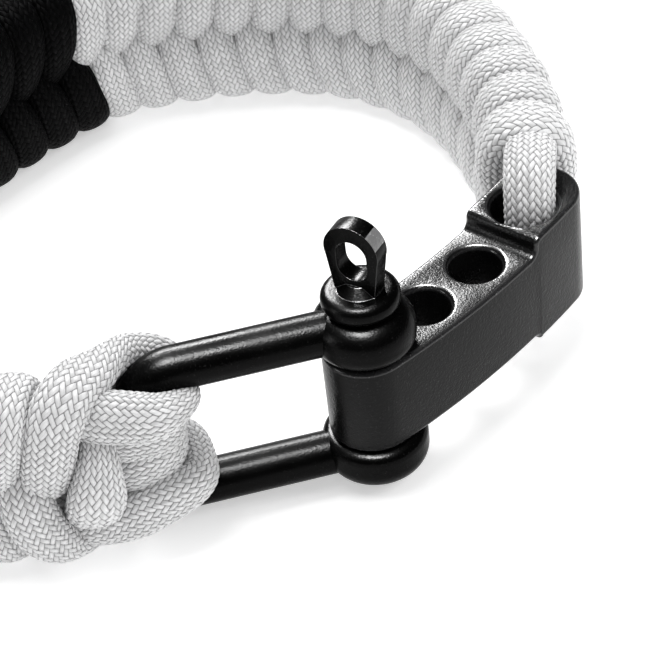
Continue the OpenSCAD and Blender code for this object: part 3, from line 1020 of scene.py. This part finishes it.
@dataclass(frozen=True)
class HardPiece:
    """A metal piece shaped by the frame, with its sharp edges softened."""

    node: str
    body: str
    # Width of the softened edges, in millimetres
    bevel: float
    record_slot: str
    # Holes whose rims stay crisper, as plan position and radius, and how much softening they get
    rims: tuple = ()
    rim_share: float = 0.4
    # Whether the softening stops short of running into itself
    clamp: bool = False
    # Whether the darker coat is used
    deep: bool = False
    segments: int = 4
    # Points closer than this, in metres, are one
    weld: float = 1e-6
    # Angles in degrees: below which two faces are one plane, above which an edge is softened, and
    # below which it is shaded smooth
    flat_angle: float = 0.8
    sharp_angle: float = 38
    smooth_angle: float = 32

    def make(self, finishes: Finishes) -> bpy.types.Object:
        """Copies the frame's piece, softens its edges and dresses it.

        Args:
            finishes: the materials.

        Returns:
            The piece.
        """
        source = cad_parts[self.node]
        mesh = source.data.copy()
        shape = bmesh.new()
        shape.from_mesh(mesh)
        bmesh.ops.remove_doubles(shape, verts=shape.verts, dist=self.weld)
        bmesh.ops.dissolve_limit(shape, angle_limit=math.radians(self.flat_angle), verts=shape.verts,
                                 edges=shape.edges)
        self.weigh(shape)
        shape.to_mesh(mesh)
        shape.free()
        mesh.materials.clear()
        for material in (finishes.deep if self.deep else finishes.coat, finishes.worn_and_highlit, finishes.rubbed):
            mesh.materials.append(material)
        piece = bpy.data.objects.new(self.node + "_finished", mesh)
        bpy.context.scene.collection.objects.link(piece)
        soften = piece.modifiers.new("soften", "BEVEL")
        soften.width, soften.segments = self.bevel * MM, self.segments
        soften.limit_method = "WEIGHT"
        # The softened edges get the worn coat, whose lighter colour is partly wear and partly a painted
        # highlight
        soften.material = WORN_HIGHLIT_SLOT
        soften.use_clamp_overlap = self.clamp
        bpy.ops.object.select_all(action="DESELECT")
        piece.select_set(True)
        bpy.context.view_layer.objects.active = piece
        bpy.ops.object.modifier_apply(modifier="soften")
        bpy.ops.object.shade_smooth_by_angle(angle=math.radians(self.smooth_angle))
        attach(piece, self.body)
        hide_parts(self.node)
        return piece

    def weigh(self, shape: bmesh.types.BMesh) -> None:
        """Marks the edges to soften, with less for the rims of holes.

        Args:
            shape: the piece, before its edges are softened.
        """
        weight = shape.edges.layers.float.new("bevel_weight_edge")
        for edge in shape.edges:
            if len(edge.link_faces) != 2 or edge.calc_face_angle(0) < math.radians(self.sharp_angle):
                continue
            middle = (edge.verts[0].co + edge.verts[1].co) / 2
            near = any(math.hypot(middle.x - x * MM, middle.y - y * MM) < r * MM for x, y, r in self.rims)
            edge[weight] = self.rim_share if near else 1.0


@dataclass(frozen=True)
class Clasp:
    """The bar, the screw pin and the shackle, in millimetres and degrees."""

    bar_bevel: float = 0.38
    pin_bevel: float = 0.35
    # Size holes: places along the bar, and the radius within which an edge is a hole's rim
    size_holes: tuple = (0.0, 7.2, 14.4)
    size_rim: float = 3.2
    cord_rim: float = 3.75
    # Eye tab: its direction in plan, and the height of the middle of its round top
    tab_turn: float = -33.0
    tab_up: float = 25.8
    # Rubbed shoulder of the tab: its distance from that middle, the angles above the level that it
    # lies between, and how far down its faces may look
    rub_from: float = 2.45
    rub_low: float = 18
    rub_high: float = 50
    rub_down: float = -0.2

    def make(self, finishes: Finishes) -> list:
        """Builds and dresses the metal pieces.

        Args:
            finishes: the materials.

        Returns:
            The bar, the pin and the shackle.
        """
        rims = [(*LOOP.bar_at(s), self.size_rim) for s in self.size_holes]
        rims.append((*LOOP.bar_at(LOOP.cord_hole), self.cord_rim))
        bar = HardPiece("adjuster_bar", "bracelet", self.bar_bevel, "clasp_metal", tuple(rims)).make(finishes)
        pin = HardPiece("screw_pin", "pin", self.pin_bevel, "pin_metal", clamp=True, deep=True).make(finishes)
        self.rub(pin)
        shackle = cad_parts["shackle"]
        shackle.data.materials.clear()
        shackle.data.materials.append(finishes.deep)
        return [bar, pin, shackle]

    def rub(self, pin: bpy.types.Object) -> None:
        """Gives the rubbed finish to the upper right shoulder of the eye tab.

        Args:
            pin: the finished screw pin.
        """
        ahead = LOOP.heading(self.tab_turn)
        for face in pin.data.polygons:
            x, y, z = (value / MM for value in face.center)
            along, up = float((np.array([x, y]) - LOOP.pin) @ ahead), z - self.tab_up
            angle = math.degrees(math.atan2(up, along))
            outside = math.hypot(along, up) > self.rub_from
            if outside and self.rub_low < angle < self.rub_high and face.normal.z > self.rub_down:
                face.material_index = RUBBED_SLOT


@dataclass(frozen=True)
class Lamp:
    """A rectangular softbox: place and size in metres, and power in watts."""

    name: str
    place: tuple
    size: tuple
    power: float
    reach: Reach = Reach.FULL

    def make(self, aim: tuple, metal: bpy.types.Collection) -> None:
        """Hangs the lamp.

        Args:
            aim: the point that it faces.
            metal: the only pieces that a card shows in.
        """
        data = bpy.data.lights.new(self.name, "AREA")
        data.shape, data.energy = "RECTANGLE", self.power
        data.size, data.size_y = self.size
        lamp = bpy.data.objects.new(self.name, data)
        lamp.location = self.place
        lamp.rotation_euler = (Vector(aim) - Vector(self.place)).to_track_quat("-Z", "Y").to_euler()
        bpy.context.scene.collection.objects.link(lamp)
        if self.reach is Reach.SOFT:
            lamp.visible_glossy = False
        if self.reach is Reach.CARD:
            lamp.visible_diffuse = False
            lamp.light_linking.receiver_collection = metal


@dataclass(frozen=True)
class Studio:
    """Floor, sky, lamps and camera."""

    # Camera, from the fit to the photograph: place in millimetres, and the picture's right and up
    camera_at: tuple = (16.17, -195.31, 160.79)
    camera_right: tuple = (0.9922, -0.0811, -0.0944)
    camera_up: tuple = (0.1245, 0.6464, 0.7528)
    lens: float = 137.74
    sensor: float = 36.0
    # Nearest distance that it sees and side of the floor, in metres
    clip: float = 0.01
    floor_side: float = 4.0
    floor_white: float = 0.9
    floor_roughness: float = 0.9
    floor_gloss: float = 0.1
    # Strength of the floor's own glow and of the sky
    glow: float = 0.44
    sky: float = 0.35
    # The point that every lamp faces, in metres, and the lamps
    aim: tuple = (0.01, -0.02, 0.01)
    lamps: tuple = (
        Lamp("top_softbox", (-0.12, 0.12, 0.68), (0.4, 0.4), 3.4),
        Lamp("back_softbox", (-0.14, 0.5, 0.45), (0.35, 0.25), 2.4),
        Lamp("front_fill", (0.3, -0.5, 0.22), (0.4, 0.3), 0.35, Reach.SOFT),
        Lamp("right_softbox", (0.42, -0.03, 0.28), (0.25, 0.25), 0.9, Reach.SOFT),
        Lamp("gloss_card", (-0.16, 0.53, 0.46), (0.33, 0.22), 32.0, Reach.CARD),
        Lamp("arm_card", (-0.05, -0.15, 0.65), (0.3, 0.2), 40.0, Reach.CARD),
        Lamp("side_card", (-0.5, -0.12, 0.14), (0.12, 0.3), 1.0, Reach.CARD),
    )

    def floor(self) -> None:
        """Lays a pale floor that glows a little."""
        bpy.ops.object.select_all(action="DESELECT")
        bpy.ops.mesh.primitive_plane_add(size=self.floor_side, location=(0, 0, 0))
        plane = bpy.context.active_object
        plane.name = "studio_floor"
        material, t, shader = new_material("studio_floor")
        t.fill(shader, {
            "Base Color": (self.floor_white,) * 3 + (1.0,),
            "Roughness": self.floor_roughness,
            "Specular IOR Level": self.floor_gloss,
            "Emission Color": (1.0, 1.0, 1.0, 1.0),
            "Emission Strength": self.glow,
        })
        plane.data.materials.append(material)

    def world(self) -> None:
        """Hangs a plain white sky that glossy surfaces don't mirror."""
        world = bpy.data.worlds.new("studio")
        bpy.context.scene.world = world
        world.use_nodes = True
        sky = world.node_tree.nodes["Background"].inputs
        sky["Color"].default_value = (1, 1, 1, 1)
        sky["Strength"].default_value = self.sky
        world.cycles_visibility.glossy = False

    def camera(self) -> None:
        """Sets up the camera at the photograph's place."""
        data = bpy.data.cameras.new("camera")
        data.lens, data.sensor_width, data.sensor_fit = self.lens, self.sensor, "HORIZONTAL"
        data.clip_start = self.clip
        camera = bpy.data.objects.new("camera", data)
        right, up = Vector(self.camera_right), Vector(self.camera_up)
        turn = Matrix((right, up, right.cross(up))).transposed().to_4x4()
        camera.matrix_world = Matrix.Translation(Vector(self.camera_at) * MM) @ turn
        bpy.context.scene.collection.objects.link(camera)
        bpy.context.scene.camera = camera

    def make(self, metal: list) -> None:
        """Builds the whole studio.

        Args:
            metal: the pieces that the bright cards show in.
        """
        self.floor()
        group = bpy.data.collections.new("metal_pieces")
        for piece in metal:
            group.objects.link(piece)
        self.world()
        for lamp in self.lamps:
            lamp.make(self.aim, group)
        self.camera()
        bpy.context.scene.view_settings.view_transform = "Standard"


def main() -> None:
    """Builds every piece in order and logs it."""
    logging.basicConfig(level=logging.INFO, format="%(message)s")
    finishes = Finishes()
    cords = Weave().make(finishes) + BowKnot().make(finishes) + [EndCord().make(finishes)]
    metal = Clasp().make(finishes)
    for piece in cords + metal:
        LOG.info("%s: %d faces", piece.name, len(piece.data.polygons))
    Studio().make(metal)


if __name__ == "__main__":
    main()
